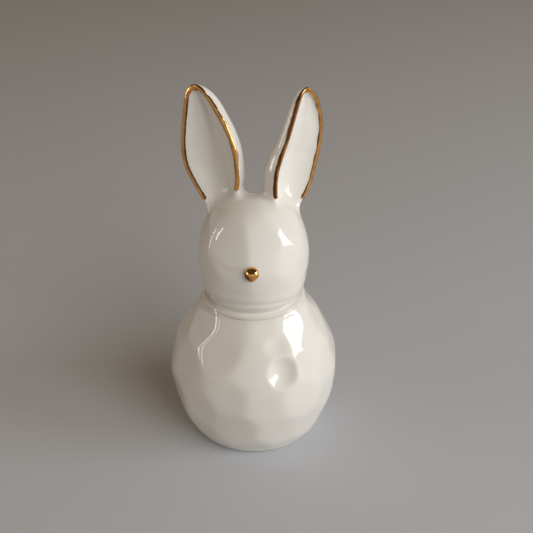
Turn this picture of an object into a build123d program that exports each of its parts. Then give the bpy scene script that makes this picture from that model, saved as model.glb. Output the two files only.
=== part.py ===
# Ceramic rabbit figurine: a hollow round body pressed by hand into flats, a low collar,
# a hollow full-cheeked head, two scooped ears and a small nose, with gold lustre laid along
# the rims of the ears and over the nose.
# Millimetres, +Z up. The origin is on the ground under the middle of the foot.
# The rabbit looks along -Y, so its own right side lies at -X.
from build123d import *
from math import acos
from math import asin
from math import cos
from math import pi
from math import radians
from math import sin
from math import sqrt
from math import tan
import os

os.makedirs("parts", exist_ok=True)

# Body: a swelling form, widest below its middle, on a foot ring
body_height = 62.0
body_radius = 32.7
body_wall = 3.6
body_rows = 9
body_flat_count = 14
# Radius as a share of body_radius, then height as a share of body_height
body_outline_shares = [
    (0.695, 0.0),
    (0.735, 0.022),
    (0.868, 0.13),
    (0.968, 0.30),
    (1.0, 0.49),
    (0.893, 0.70),
    (0.702, 0.88),
    (0.563, 1.0),
]
# How deep every flat is pressed in, and the unevenness that the hand leaves in depth and turn
flat_press_depth = 0.3
flat_uneven_depth = 0.3
flat_wander_share = 0.1

foot_ring_width = 4.2
foot_recess_depth = 1.8
pour_hole_radius = 5.0

# Thumb dishes on the body: turn from the front in degrees, height as a share of body_height,
# then radius and depth as shares of the large dish
dish_radius = 6.8
dish_depth = 2.0
dish_places_shares = [
    (23.0, 0.68, 1.0, 1.0),
    (-31.0, 0.62, 1.0, 0.72),
    (62.0, 0.33, 0.95, 0.7),
    (128.0, 0.60, 1.05, 0.8),
    (-160.0, 0.40, 1.0, 0.75),
    (-100.0, 0.66, 0.95, 0.75),
]

# Collar: the low band of clay between body and head
collar_height = 2.2
collar_swell = 0.3
collar_inset = 0.2

# Head: taller than wide and full in the cheeks, hollow, cut flat at the neck where it stands
# on the collar, and open there. The fullness is the power of sine and cosine in its outline.
head_radius = 21.6
head_half_height = 24.6
head_fullness_share = 0.92
neck_radius_share = 0.877
head_wall = 3.2
head_rows = 12
head_cavity_rows = 5
head_cavity_flat_count = 10

# Ears: one leaf, scooped in front, used for both
ear_length = 46.0
ear_half_width = 10.3
ear_root_depth = 8.0
ear_thickness = 7.8
ear_rim_land = 1.6
ear_stations = 13
ear_scoop_sides = 5
ear_back_sides = 8
ear_scoop_share = 0.36
# How much thinner the ear grows towards its tip, and how square its back is
ear_slimming_share = 0.45
ear_squareness_share = 0.6
# Half width as a share of ear_half_width, then place along the ear as a share of ear_length
ear_leaf_shares = [
    (0.62, 0.0),
    (0.985, 0.37),
    (0.80, 0.63),
    (0.47, 0.85),
    (0.33, 0.92),
    (0.0, 1.0),
]
ear_root_width_share = 0.58
ear_last_station_share = 0.985
ear_lean_back = 6.8
ear_root_behind_crown = 0.5

# Each ear's own set: how far out its root stands and how deep under the head's outline, how
# far it leans out, how far its face turns out, and its bow along the face
right_ear_root_out = 10.9
right_ear_root_sunk = 2.6
right_ear_lean_out = 11.6
right_ear_turn = 22.4
right_ear_bow = 0.35
left_ear_root_out = 12.1
left_ear_root_sunk = 3.6
left_ear_lean_out = 10.1
left_ear_turn = 44.8
left_ear_bow = 2.2

# Nose: a small bead set on the front of the head
nose_radius = 2.2
nose_rise = 3.3
nose_up_angle = 1.5
nose_sunk = 0.3
nose_band_count = 3

# Gold lustre: its thickness, the width of its line, and how far it keeps from the ear's edge
gilding_thickness = 0.3
gilding_width = 1.3
gilding_edge_clearance = 0.1
gilding_skipped_row_count = 3

cut_overrun = 2.0

neck_radius = head_radius * neck_radius_share
neck_turn = acos(neck_radius_share ** (1 / head_fullness_share))
neck_drop = head_half_height * sin(neck_turn) ** head_fullness_share
collar_top_height = body_height + collar_height
head_centre_height = collar_top_height + neck_drop
cavity_floor_height = foot_recess_depth + body_wall
foot_radius = body_radius * body_outline_shares[0][0]
body_top_radius = body_radius * body_outline_shares[-1][0]


def uneven(turn, row):
    """The hand's unevenness, from -1 to 1, for one flat of one row."""
    return sin(3 * turn + 2.3 * row) * cos(5 * turn - 1.7 * row)


def flat_plane(curve, place, turn, press):
    """The plane of one flat: it touches a turned outline at a place along it, then presses in."""
    touch = curve @ place
    run = curve % place
    outward = Vector(run.Y * cos(turn), run.Y * sin(turn), -run.X).normalized()
    on_outline = Vector(touch.X * cos(turn), touch.X * sin(turn), touch.Y)
    return Plane(origin=on_outline - outward * press, z_dir=outward)


def flatted_form(curve, rows, flats, bottom, top, inset, uneven_depth):
    """A round block pressed flat all round, row above row, each row half a step on."""
    step = 2 * pi / flats
    widest = max((curve @ ((row + 0.5) / rows)).X for row in range(rows))
    with BuildPart() as form:
        with BuildSketch(Plane.XY.offset(bottom)):
            Circle(2 * widest)
        extrude(amount=top - bottom)
        for row in range(rows):
            for flat in range(flats):
                turn = step * (flat + row / 2)
                press = inset + uneven_depth * uneven(turn, row)
                moved = turn + flat_wander_share * step * uneven(turn + 1, row)
                place = (row + 0.5) / rows
                split(bisect_by=flat_plane(curve, place, moved, press), keep=Keep.BOTTOM)
    return form.part


# The body's outline is one smooth curve from the foot to the neck
body_curve = Spline(*[(body_radius * r, body_height * h) for r, h in body_outline_shares])


def body_radius_at(height):
    """The body's radius at a height: that of the row of flats that lies innermost there."""
    reaches = []
    for row in range(body_rows):
        touch = body_curve @ ((row + 0.5) / body_rows)
        run = body_curve % ((row + 0.5) / body_rows)
        reaches.append(touch.X + (height - touch.Y) * run.X / run.Y)
    return min(reaches) - flat_press_depth


def dish_ball(turn_degrees, height_share, radius_share, depth_share):
    """The ball that presses one dish: how large it is, and where its centre stands."""
    turn = radians(turn_degrees)
    height = body_height * height_share
    rise = body_height / body_rows
    slope = (body_radius_at(height + rise / 2) - body_radius_at(height - rise / 2)) / rise
    outward = Vector(sin(turn), -cos(turn), -slope).normalized()
    radius = dish_radius * radius_share
    depth = dish_depth * depth_share
    ball_radius = (radius ** 2 + depth ** 2) / (2 * depth)
    surface = body_radius_at(height)
    on_surface = Vector(surface * sin(turn), -surface * cos(turn), height)
    return ball_radius, on_surface + outward * (ball_radius - depth)


with BuildPart() as body_shell:
    add(
        flatted_form(
            body_curve, body_rows, body_flat_count, 0, body_height, flat_press_depth, flat_uneven_depth
        )
    )
    for place in dish_places_shares:
        ball_radius, ball_centre = dish_ball(*place)
        with Locations(ball_centre):
            Sphere(ball_radius, mode=Mode.SUBTRACT)
    add(
        flatted_form(
            body_curve,
            body_rows,
            body_flat_count,
            cavity_floor_height,
            body_height + cut_overrun,
            flat_press_depth + body_wall,
            flat_uneven_depth,
        ),
        mode=Mode.SUBTRACT,
    )
    with BuildSketch(Plane.XY):
        Circle(foot_radius - foot_ring_width)
    extrude(amount=foot_recess_depth, mode=Mode.SUBTRACT)
    with BuildSketch(Plane.XY):
        Circle(pour_hole_radius)
    extrude(amount=cavity_floor_height + cut_overrun, mode=Mode.SUBTRACT)

body_shell.part.label = "body_shell"
export_step(body_shell.part, "parts/body_shell.step")

# The cavity keeps the outline's form at the wall's thickness inside it
head_inner_half_height = head_half_height - head_wall
neck_mouth_turn = asin((neck_drop / head_inner_half_height) ** (1 / head_fullness_share))


def head_outline(inset, lowest_turn, rows):
    """Reach and height of the head's outline, or of one inside it, from the neck to the crown."""
    line = []
    for row in range(rows):
        turn = (pi / 2 + lowest_turn) * row / rows - lowest_turn
        reach = (head_radius - inset) * cos(turn) ** head_fullness_share
        rise = (head_half_height - inset) * abs(sin(turn)) ** head_fullness_share
        line.append((reach, head_centre_height + (rise if turn > 0 else -rise)))
    return line + [(0, head_centre_height + head_half_height - inset)]


def head_height_at(reach):
    """Height of the head's upper outline at a distance from its middle line."""
    turn = acos((reach / head_radius) ** (1 / head_fullness_share))
    return head_centre_height + head_half_height * sin(turn) ** head_fullness_share


def head_reach_at(rise):
    """The head's reach at a height over its middle."""
    turn = asin((rise / head_half_height) ** (1 / head_fullness_share))
    return head_radius * cos(turn) ** head_fullness_share


with BuildPart() as head_form:
    with BuildSketch(Plane.XZ):
        with BuildLine():
            Polyline((0, collar_top_height), *head_outline(0, neck_turn, head_rows), close=True)
        make_face()
    revolve(axis=Axis.Z)

head_cavity_line = head_outline(head_wall, neck_mouth_turn, head_cavity_rows)
neck_mouth_radius = head_cavity_line[0][0]
head_cavity_curve = Spline(*head_cavity_line)

with BuildPart() as head_shell:
    add(head_form.part)
    add(
        flatted_form(
            head_cavity_curve,
            head_cavity_rows,
            head_cavity_flat_count,
            collar_top_height,
            head_centre_height + head_inner_half_height,
            flat_press_depth,
            0,
        ),
        mode=Mode.SUBTRACT,
    )

head_shell.part.label = "head_shell"
export_step(head_shell.part, "parts/head_shell.step")

# The collar joins the head's neck to the body's top with a slight swell, and its bore joins
# their hollows
collar_foot_radius = body_top_radius - collar_inset
collar_middle_radius = (collar_foot_radius + neck_radius) / 2 + collar_swell

with BuildPart() as neck_collar:
    with BuildSketch(Plane.XZ):
        with BuildLine():
            Polyline(
                (body_top_radius - body_wall, body_height),
                (collar_foot_radius, body_height),
                (collar_middle_radius, body_height + collar_height / 2),
                (neck_radius, collar_top_height),
                (neck_mouth_radius, collar_top_height),
                close=True,
            )
        make_face()
    revolve(axis=Axis.Z)

neck_collar.part.label = "neck_collar"
export_step(neck_collar.part, "parts/neck_collar.step")

# The leaf of an ear: half width and place along the ear, from below its root to its tip
ear_leaf = Spline(
    (ear_half_width * ear_root_width_share, -ear_root_depth),
    *[(ear_half_width * w, ear_length * s) for w, s in ear_leaf_shares],
    tangents=[(0, 1), (-1, 0)],
)
ear_rows = [
    ear_leaf @ (ear_last_station_share * station / ear_stations) for station in range(ear_stations + 1)
]


def ear_bow_at(place, side, bow):
    """How far the ear's middle line stands out at a place along it."""
    share = max(0, place / ear_length)
    return side * bow * 4 * share * (1 - share)


def ear_section(plane, half_width, place, side, bow):
    """One cut across an ear: a flat land, the scoop, the other land, and the rounded square back."""
    depth = ear_thickness * (1 - ear_slimming_share * (1 - sqrt(min(1, half_width / ear_half_width))))
    inner = half_width - min(ear_rim_land, half_width / 2)
    points = [(-half_width, 0)]
    for corner in range(ear_scoop_sides + 1):
        turn = pi * corner / ear_scoop_sides
        points.append((-inner * cos(turn), inner * ear_scoop_share * sin(turn)))
    points.append((half_width, 0))
    for corner in range(1, ear_back_sides):
        turn = pi * corner / ear_back_sides
        x = half_width * abs(cos(turn)) ** ear_squareness_share
        points.append((x if cos(turn) > 0 else -x, depth * sin(turn) ** ear_squareness_share))
    shift = ear_bow_at(place, side, bow)
    with BuildSketch(plane.offset(place)) as section:
        with BuildLine():
            Polyline(*[(x + shift, y) for x, y in points], close=True)
        make_face()
    return section.sketch


def ear_plane(side, root_out, root_sunk, lean_out, turn):
    """The plane across an ear's root: X across the face, Y to the back, Z along the ear."""
    along = Vector(side * tan(radians(lean_out)), tan(radians(ear_lean_back)), 1).normalized()
    front = Vector(side * sin(radians(turn)), -cos(radians(turn)), 0)
    across = along.cross(front).normalized()
    root = Vector(side * root_out, ear_root_behind_crown, head_height_at(root_out) - root_sunk)
    return Plane(origin=root, x_dir=across, z_dir=along)


def make_ear(plane, side, bow):
    """One solid ear, its root cut to the form of the head."""
    with BuildPart() as ear:
        loft([ear_section(plane, row.X, row.Y, side, bow) for row in ear_rows], ruled=True)
        add(head_form.part, mode=Mode.SUBTRACT)
    return ear.part


def make_ear_gilding(plane, side, bow):
    """The line of gold on one ear's rim: up one land, round the tip and down the other."""
    face = Plane(origin=plane.origin, x_dir=plane.x_dir, z_dir=-plane.y_dir)
    outer = []
    inner = []
    for row in ear_rows[gilding_skipped_row_count:]:
        shift = ear_bow_at(row.Y, side, bow)
        reach = row.X - gilding_edge_clearance
        outer.append((shift, reach, row.Y))
        if reach > 2 * gilding_width:
            inner.append((shift, reach - gilding_width, row.Y))
    points = [(shift + reach, place) for shift, reach, place in outer]
    points += [(shift - reach, place) for shift, reach, place in reversed(outer)]
    points += [(shift - reach, place) for shift, reach, place in inner]
    points += [(shift + reach, place) for shift, reach, place in reversed(inner)]
    with BuildPart() as gilding:
        with BuildSketch(face):
            with BuildLine():
                Polyline(*points, close=True)
            make_face()
        extrude(amount=gilding_thickness)
        add(head_form.part, mode=Mode.SUBTRACT)
    return gilding.part


right_ear_plane = ear_plane(
    -1, right_ear_root_out, right_ear_root_sunk, right_ear_lean_out, right_ear_turn
)
right_ear = make_ear(right_ear_plane, -1, right_ear_bow)
right_ear.label = "right_ear"
export_step(right_ear, "parts/right_ear.step")

right_ear_gilding = make_ear_gilding(right_ear_plane, -1, right_ear_bow)
right_ear_gilding.label = "right_ear_gilding"
export_step(right_ear_gilding, "parts/right_ear_gilding.step")

left_ear_plane = ear_plane(
    1, left_ear_root_out, left_ear_root_sunk, left_ear_lean_out, left_ear_turn
)
left_ear = make_ear(left_ear_plane, 1, left_ear_bow)
left_ear.label = "left_ear"
export_step(left_ear, "parts/left_ear.step")

left_ear_gilding = make_ear_gilding(left_ear_plane, 1, left_ear_bow)
left_ear_gilding.label = "left_ear_gilding"
export_step(left_ear_gilding, "parts/left_ear_gilding.step")

# The nose: a dome of clay on the front of the head, and the gold that covers it
nose_direction = Vector(0, -cos(radians(nose_up_angle)), sin(radians(nose_up_angle)))
nose_plane = Plane(
    origin=Vector(0, nose_sunk - head_reach_at(nose_rise), head_centre_height + nose_rise),
    x_dir=(1, 0, 0),
    z_dir=nose_direction,
)


def nose_dome(radius):
    """A dome that reaches back into the head, turned about the nose's own direction."""
    turns = [radians(90 * band / nose_band_count) for band in range(nose_band_count)]
    with BuildPart() as dome:
        with BuildSketch(nose_plane.rotated((90, 0, 0))):
            with BuildLine():
                Polyline(
                    (0, -radius),
                    (radius, -radius),
                    *[(radius * cos(turn), radius * sin(turn)) for turn in turns],
                    (0, radius),
                    close=True,
                )
            make_face()
        revolve(axis=Axis(nose_plane.origin, nose_direction))
    return dome.part


with BuildPart() as nose_bead:
    add(nose_dome(nose_radius))
    add(head_form.part, mode=Mode.SUBTRACT)

nose_bead.part.label = "nose_bead"
export_step(nose_bead.part, "parts/nose_bead.step")

with BuildPart() as nose_gilding:
    add(nose_dome(nose_radius + gilding_thickness))
    add(nose_dome(nose_radius), mode=Mode.SUBTRACT)
    add(head_form.part, mode=Mode.SUBTRACT)

nose_gilding.part.label = "nose_gilding"
export_step(nose_gilding.part, "parts/nose_gilding.step")
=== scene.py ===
from math import cos, pi, radians, sin, tan

import bmesh
import bpy
import numpy as np
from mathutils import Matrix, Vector
from mathutils.bvhtree import BVHTree


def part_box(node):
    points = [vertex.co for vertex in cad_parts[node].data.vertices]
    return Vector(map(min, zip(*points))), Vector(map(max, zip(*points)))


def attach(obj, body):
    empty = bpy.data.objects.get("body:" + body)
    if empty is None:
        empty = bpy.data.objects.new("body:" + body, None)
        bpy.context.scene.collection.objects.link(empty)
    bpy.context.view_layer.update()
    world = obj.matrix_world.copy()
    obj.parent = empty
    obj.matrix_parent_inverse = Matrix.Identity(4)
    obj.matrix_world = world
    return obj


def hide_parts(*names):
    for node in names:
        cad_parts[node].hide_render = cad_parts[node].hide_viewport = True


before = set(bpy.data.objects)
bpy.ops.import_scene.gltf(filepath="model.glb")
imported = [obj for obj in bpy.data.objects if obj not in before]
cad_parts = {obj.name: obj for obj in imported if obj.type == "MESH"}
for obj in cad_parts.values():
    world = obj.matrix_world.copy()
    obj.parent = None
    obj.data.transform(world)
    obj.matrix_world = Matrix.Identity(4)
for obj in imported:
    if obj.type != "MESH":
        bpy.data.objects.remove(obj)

bl_info = {
    "name": "Gilded ceramic rabbit",
    "version": (1, 0, 0),
    "blender": (4, 5, 0),
    "location": "3D View > Sidebar > Rabbit",
    "description": "Glazed and gilded looks for a slip-cast rabbit figurine",
    "category": "Object",
}

MM = 0.001
_, BODY_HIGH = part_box("body_shell")
_, COLLAR_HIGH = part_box("neck_collar")
HEAD_LOW, HEAD_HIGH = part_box("head_shell")
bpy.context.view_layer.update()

# From here on lengths are in millimetres and angles in degrees, unless a comment says otherwise
BODY_TOP = BODY_HIGH.z / MM
COLLAR_TOP = COLLAR_HIGH.z / MM
HEAD_RADIUS = (HEAD_HIGH.x - HEAD_LOW.x) / 2 / MM
HEAD_HALF_HEIGHT = 24.6
HEAD_CENTRE = HEAD_HIGH.z / MM - HEAD_HALF_HEIGHT
HEAD_MIDDLE = np.array([0.0, 0.0, HEAD_CENTRE])
HEAD_FULLNESS = 0.92  # 1 is an ellipse, less is fuller in the cheeks
HEAD_POWER = 2 / HEAD_FULLNESS

# Meshes: how many steps go round, and how far apart the rings of each kind lie
BODY_STEPS = 300
HEAD_STEPS = 256
BODY_SPACING = 0.42
COLLAR_SPACING = 0.2
HEAD_SPACING = 0.36
HEAD_WALL_SPACING = 1.0
BODY_WALL_SPACING = 1.1
EAR_ROWS, EAR_TURNS = 200, 133
GOLD_SPACING, GOLD_TURNS = 0.25, 23
MERGE_WITHIN, GRID_MERGE_WITHIN, SLIVER_WITHIN = 0.001, 0.002, 0.0005
FILLET_PASSES = 7
EXPONENT_LIMIT = 60  # keeps the exponentials of the presses within range

# The pressed skin of the body runs from just above the foot to just under the collar
SKIN_FOOT = 0.35
SKIN_TOP = BODY_TOP - 0.1
BORE_RADIUS = 9.4  # narrowest place of the cavity, under the collar
# How softly a press ends in the skin round it
BODY_FADING = 0.35
HEAD_FADING = 0.8

# Radius as a share of the body's radius, then height as a share of its height, foot to neck
BODY_OUTLINE = [(0.695, 0.0), (0.735, 0.022), (0.868, 0.13), (0.968, 0.30), (1.0, 0.49),
                (0.893, 0.70), (0.702, 0.88), (0.563, 1.0)]
# Flats and dishes pressed by hand on the front: turn from the front towards +X, height, radius, depth
BODY_PRESSES = [
    (22.0, 41.9, 6.5, 3.05), (20.5, 51.2, 4.7, 1.0), (41.0, 55.6, 7.8, 0.66),
    (57.0, 47.5, 8.6, 1.05), (44.0, 41.5, 7.2, 0.8), (13.0, 57.4, 5.2, 0.45),
    (79.0, 50.0, 7.4, 0.80), (-55.0, 54.8, 7.8, 0.98), (-26.0, 48.0, 8.6, 1.15),
    (-22.0, 58.0, 5.5, 0.45), (-86.0, 49.0, 7.6, 0.80), (63.0, 36.0, 8.2, 0.9),
    (-2.0, 42.5, 8.5, 0.65), (84.0, 37.5, 7.8, 0.75), (-55.0, 37.5, 8.5, 0.95),
    (-84.0, 35.0, 8.0, 0.95), (34.0, 29.5, 8.6, 1.00), (9.0, 29.5, 8.4, 0.95),
    (-17.0, 32.0, 8.2, 1.05), (-40.0, 24.0, 8.6, 1.05), (62.0, 25.5, 8.8, 1.00),
    (-67.0, 21.5, 8.6, 1.05), (88.0, 24.0, 8.6, 1.00), (-13.0, 16.5, 9.0, 1.05),
    (19.0, 15.0, 9.0, 1.00), (45.0, 13.0, 8.6, 0.95), (74.0, 10.5, 7.8, 0.75),
    (-43.0, 9.0, 8.0, 0.75), (-75.0, 8.0, 7.5, 0.70), (2.0, 4.5, 6.5, 0.55),
    (30.0, 3.5, 6.5, 0.50),
]
# The soft flats of the head: turn from the front towards +X, angle above level, radius, depth
HEAD_PRESSES = [
    (-26.0, 26.0, 11.0, 1.9), (14.0, 30.0, 10.5, 1.7), (-52.0, -2.0, 8.5, 0.80),
    (-24.0, -14.0, 7.5, 0.60), (38.0, 20.0, 7.8, 1.3), (52.0, 40.0, 9.0, 1.2),
    (62.0, 0.0, 8.6, 1.0), (18.0, -12.0, 7.5, 0.55), (76.0, 26.0, 8.5, 0.70),
    (72.0, -18.0, 8.0, 0.60), (-78.0, 24.0, 9.0, 0.75), (-80.0, -16.0, 8.5, 0.60),
    (110.0, 6.0, 9.0, 0.70), (-112.0, 4.0, 9.0, 0.70), (180.0, 58.0, 11.0, 2.6),
    (150.0, 18.0, 9.5, 0.75), (-150.0, 22.0, 9.5, 0.75), (180.0, -8.0, 9.5, 0.70),
    (140.0, -20.0, 8.5, 0.60), (-142.0, -18.0, 8.5, 0.60),
]
# The rim of each ear, from the right of its root round the tip to the left, seen from the front:
# distance from its middle line as a share of the half width, place along it as a share of its length
EAR_RIMS = {
    -1: [(0.57, 0.0), (0.86, 0.21), (0.99, 0.39), (0.975, 0.53), (0.83, 0.67), (0.555, 0.845), (0.26, 0.95),
         (-0.09, 0.992), (-0.39, 0.953), (-0.62, 0.845), (-0.92, 0.66), (-1.10, 0.52), (-1.16, 0.38),
         (-0.97, 0.205), (-0.68, 0.0)],
    1: [(0.66, 0.0), (1.03, 0.175), (1.145, 0.35), (1.17, 0.52), (1.08, 0.68), (0.83, 0.817), (0.55, 0.908),
        (0.24, 0.972), (-0.10, 1.004), (-0.41, 0.965), (-0.53, 0.88), (-0.64, 0.72), (-0.78, 0.533),
        (-0.92, 0.38), (-0.87, 0.22), (-0.60, 0.0)],
}
# Place along each ear as a share of its length, then thickness as a share of the greatest
EAR_THICKNESS = {
    -1: [(-0.2, 0.90), (0.1, 0.88), (0.22, 0.84), (0.43, 0.88), (0.65, 0.80), (0.83, 0.72), (1.0, 0.60)],
    1: [(-0.2, 0.95), (0.24, 0.95), (0.41, 0.87), (0.57, 0.66), (0.72, 0.52), (0.87, 0.46), (1.0, 0.42)],
}
# The sides are the rabbit's own: -1 is its right, which the photograph shows on the left
EARS = ((-1, "right_ear"), (1, "left_ear"))
# Root's distance from the middle, its depth in the head, then how far the ear leans and turns outwards
EAR_STANDS = {-1: (10.9, 2.6, 11.6, 22.4), 1: (12.1, 3.6, 10.1, 44.8)}
EAR_LEAN_BACK = 6.8
EAR_SHIFT_BACK = 0.5
EAR_REACH = 20.0  # an ear raises the head's clay only this near its root
BAND_REACH = 8.0  # the band under the chin ends lower than this above the collar

# How high above the root the gold starts on the right and the left rim, and where it is worn thin,
# as a share of its run
GOLD_STARTS = {-1: (5.6, 2.8), 1: (3.3, 5.3)}
GOLD_WORN = {-1: 0.42, 1: 0.40}
GOLD_INSET = 0.92
GOLD_SUNK = 0.25

NOSE_PLACE = np.array([-0.35, -HEAD_RADIUS + 0.35, HEAD_CENTRE + 3.3])
NOSE_COAT = 0.18

# The photograph's camera: its place, its tilt from looking straight down, and its lens
CAMERA_PLACE = (4.94, -311.859, 251.417)
CAMERA_TILT = 60.0
FOCAL_PIXELS, PHOTO_PIXELS, SENSOR_WIDTH = 950.0, 533.0, 36.0
# Lamps: name, turn from the front towards +X, rise, then distance, width and height in metres, power as
# a share of the window's own, colour, and whether the glaze mirrors it
LAMPS = (
    ("window", 77.5, 15.0, 1.5, 0.66, 0.64, 2.75, (0.97, 0.985, 1.0), True),
    ("soft_key", 38.0, 31.0, 1.2, 0.8, 0.8, 2.0, (1.0, 0.995, 0.985), False),
    ("left_glint", -86.0, 8.0, 0.8, 0.06, 0.30, 0.12, (1.0, 0.95, 0.88), True),
    ("far_left_glint", -70.0, 16.0, 0.8, 0.05, 0.22, 0.08, (1.0, 0.95, 0.88), True),
)
LAMP_AIM = Vector((0, 0, 0.06))
FILL_COLOUR = (1.0, 0.69, 0.38)
FLOOR_HALF_WIDTH = 3.0  # metres


# ---- sizes and colours a user may change -------------------------------------------------

def length(name, what, value):
    """A size in metres, given in millimetres and shown with its unit."""
    return bpy.props.FloatProperty(
        name=name, description=what, default=value * MM, min=0.0, precision=5,
        subtype="DISTANCE", unit="LENGTH",
    )


def shade(name, what, value):
    """A colour."""
    return bpy.props.FloatVectorProperty(
        name=name, description=what, default=value, size=3, min=0.0, max=1.0, subtype="COLOR",
    )


class RabbitBodySizes(bpy.types.PropertyGroup):
    """The pressed body."""
    radius: length("Radius", "The body's radius before it is pressed", 33.25)
    wall: length("Wall", "Thickness of the cast wall", 3.6)
    foot_ring: length("Foot ring", "Width of the bare foot ring", 4.2)
    foot_recess: length("Foot recess", "Depth of the recess under the body", 1.8)
    pour_hole: length("Pour hole", "Radius of the hole in the underside", 5.0)
    flat_spacing: length("Flat spacing", "Distance between the flats left by the hand", 13.4)
    flat_radius: length("Flat radius", "Radius of one flat", 8.0)
    flat_depth: length("Flat depth", "How deep one flat is pressed", 0.85)
    ridge_softness: length("Ridge softness", "How far the glaze rounds the ridges", 0.20)


class RabbitHeadSizes(bpy.types.PropertyGroup):
    """The ball of the head, the collar under it and the nose."""
    wall: length("Wall", "Thickness of the cast wall", 3.2)
    neck_radius: length("Neck radius", "Radius where the head stands on the collar", 18.94)
    ridge_softness: length("Ridge softness", "How softly the flats of the head meet", 0.24)
    nose_radius: length("Nose radius", "Radius of the nose bead", 2.4)
    chin_band: length("Chin band", "How far the band of clay under the chin stands out", 0.42)


class RabbitEarSizes(bpy.types.PropertyGroup):
    """The ears and the gold on them."""
    length: length("Length", "Length of an ear above its root", 46.0)
    half_width: length("Half width", "Half of the ear's greatest width", 10.3)
    thickness: length("Thickness", "Thickness from the rim to the back", 7.6)
    scoop: length("Scoop", "Depth of the scoop in the ear's front", 4.4)
    root_depth: length("Root depth", "How far the ear runs into the head", 9.0)
    fillet: length("Fillet", "Size of the blend between ear and head", 3.4)
    gold_width: length("Gold width", "Width of the line of gold", 2.5)
    gold_thickness: length("Gold thickness", "How far the gilded lip stands out", 0.5)


class RabbitFinishes(bpy.types.PropertyGroup):
    """Colours of the glaze, the gold, the bare clay and the studio."""
    glaze: shade("Glaze", "Ivory glaze", (0.80, 0.785, 0.74))
    # Darker colour for the painted shade in creases, where the glaze also gathers
    glaze_pool_and_shade: shade("Pooled glaze and painted shade", "Glaze where it gathers in creases, with painted shade", (0.66, 0.62, 0.545))
    gold: shade("Gold", "Fired gold lustre", (0.95, 0.49, 0.15))
    # Dark brown of the lustre's thin edge, also used for painted dark reflection on the ear gold and painted
    # shade on the nose
    gold_edge_and_dark_reflection: shade("Gold edge and painted reflection", "The thin brown edge of the lustre, with painted dark reflection", (0.13, 0.05, 0.018))
    clay: shade("Bare clay", "Unglazed foot", (0.70, 0.655, 0.57))
    floor: shade("Floor", "Plain pale floor", (0.56, 0.585, 0.63))
    fill_light: bpy.props.FloatProperty(
        name="Fill light", description="Strength of the light from all round", default=0.18, min=0.0,
    )
    window_power: bpy.props.FloatProperty(
        name="Window power", description="Power of the window-like lamp in watts", default=3.7,
        min=0.0, unit="POWER",
    )


# ---- curves ------------------------------------------------------------------------------

def run_along(points):
    """Distance travelled along a line at each of its points."""
    return np.concatenate([[0.0], np.cumsum(np.linalg.norm(np.diff(points, axis=0), axis=1))])


def ease(share):
    """The same share from 0 to 1, with a soft start and a soft end."""
    return share * share * (3 - 2 * share)


def hump(distance, width):
    """A soft hump of height 1 round distance 0."""
    return np.exp(-(distance / width) ** 2)


def smooth_curve(points, places):
    """Points on the smooth curve through the given points, at places from 0 to 1 along it."""
    p = np.array(points, float)
    t = run_along(p)
    count = len(t)
    step = np.diff(t)
    left = np.eye(count)
    right = np.zeros_like(p)
    for i in range(1, count - 1):
        left[i, i - 1:i + 2] = step[i - 1], 2 * (step[i - 1] + step[i]), step[i]
        right[i] = 6 * ((p[i + 1] - p[i]) / step[i] - (p[i] - p[i - 1]) / step[i - 1])
    bend = np.linalg.solve(left, right)
    s = np.clip(np.asarray(places, float), 0, 1) * t[-1]
    k = np.clip(np.searchsorted(t, s, side="right") - 1, 0, count - 2)
    a = ((t[k + 1] - s) / step[k])[:, None]
    b = 1 - a
    h = (step[k] ** 2)[:, None] / 6
    return a * p[k] + b * p[k + 1] + ((a ** 3 - a) * bend[k] + (b ** 3 - b) * bend[k + 1]) * h


def body_outline(sizes, count):
    """The body's outline from the foot to the neck, as radius and height."""
    curve = smooth_curve(BODY_OUTLINE, np.linspace(0, 1, count))
    return curve * np.array([sizes.radius / MM, BODY_TOP])


def arc(centre, radius, start, end, count):
    """Points on an arc in the plane of radius and height, angles in degrees."""
    turns = np.radians(np.linspace(start, end, count))
    return [(centre[0] + radius * cos(t), centre[1] + radius * sin(t)) for t in turns]


def resample(points, spacing):
    """The same line with its points a set distance apart."""
    p = np.array(points, float)
    t = run_along(p)
    count = max(2, int(round(t[-1] / spacing)) + 1)
    s = np.linspace(0, t[-1], count)
    return np.stack([np.interp(s, t, p[:, i]) for i in range(p.shape[1])], axis=1)


# ---- meshes ------------------------------------------------------------------------------

def spin_profile(profile, steps, closed):
    """A bmesh turned about Z from a line of (radius, height) in millimetres."""
    bm = bmesh.new()
    line = [bm.verts.new((r, 0.0, z)) for r, z in profile]
    edges = [bm.edges.new(pair) for pair in zip(line, line[1:])]
    if closed:
        edges.append(bm.edges.new((line[-1], line[0])))
    bmesh.ops.spin(
        bm, geom=line + edges, cent=(0, 0, 0), axis=(0, 0, 1), angle=2 * pi, steps=steps,
        use_merge=True,
    )
    bmesh.ops.remove_doubles(bm, verts=bm.verts, dist=MERGE_WITHIN)
    bmesh.ops.recalc_face_normals(bm, faces=bm.faces)
    return bm


def grid_tube(rows, around, place):
    """A closed skin from a grid: place(row shares, turn shares) gives X, Y, Z in mm and how much gathered
    finish and painted shade lies there.
    """
    bm = bmesh.new()
    bmesh.ops.create_grid(bm, x_segments=rows, y_segments=around, size=0.5)
    bm.verts.ensure_lookup_table()
    share = np.array([v.co[:2] for v in bm.verts]) + 0.5
    pool_and_shade = bm.verts.layers.float.new("pool_and_shade")
    for v, (x, y, z, pooled_and_shaded) in zip(bm.verts, place(share[:, 0], share[:, 1])):
        v.co = x, y, z
        v[pool_and_shade] = pooled_and_shaded
    bmesh.ops.remove_doubles(bm, verts=bm.verts, dist=GRID_MERGE_WITHIN)
    bmesh.ops.dissolve_degenerate(bm, edges=bm.edges, dist=SLIVER_WITHIN)
    bmesh.ops.recalc_face_normals(bm, faces=bm.faces)
    return bm


def points_of(bm):
    """All vertices as an array, and their normals."""
    bm.normal_update()
    return np.array([v.co for v in bm.verts]), np.array([v.normal for v in bm.verts])


def move_to(bm, points):
    """Put the vertices at the given points."""
    for v, co in zip(bm.verts, points):
        v.co = co


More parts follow.
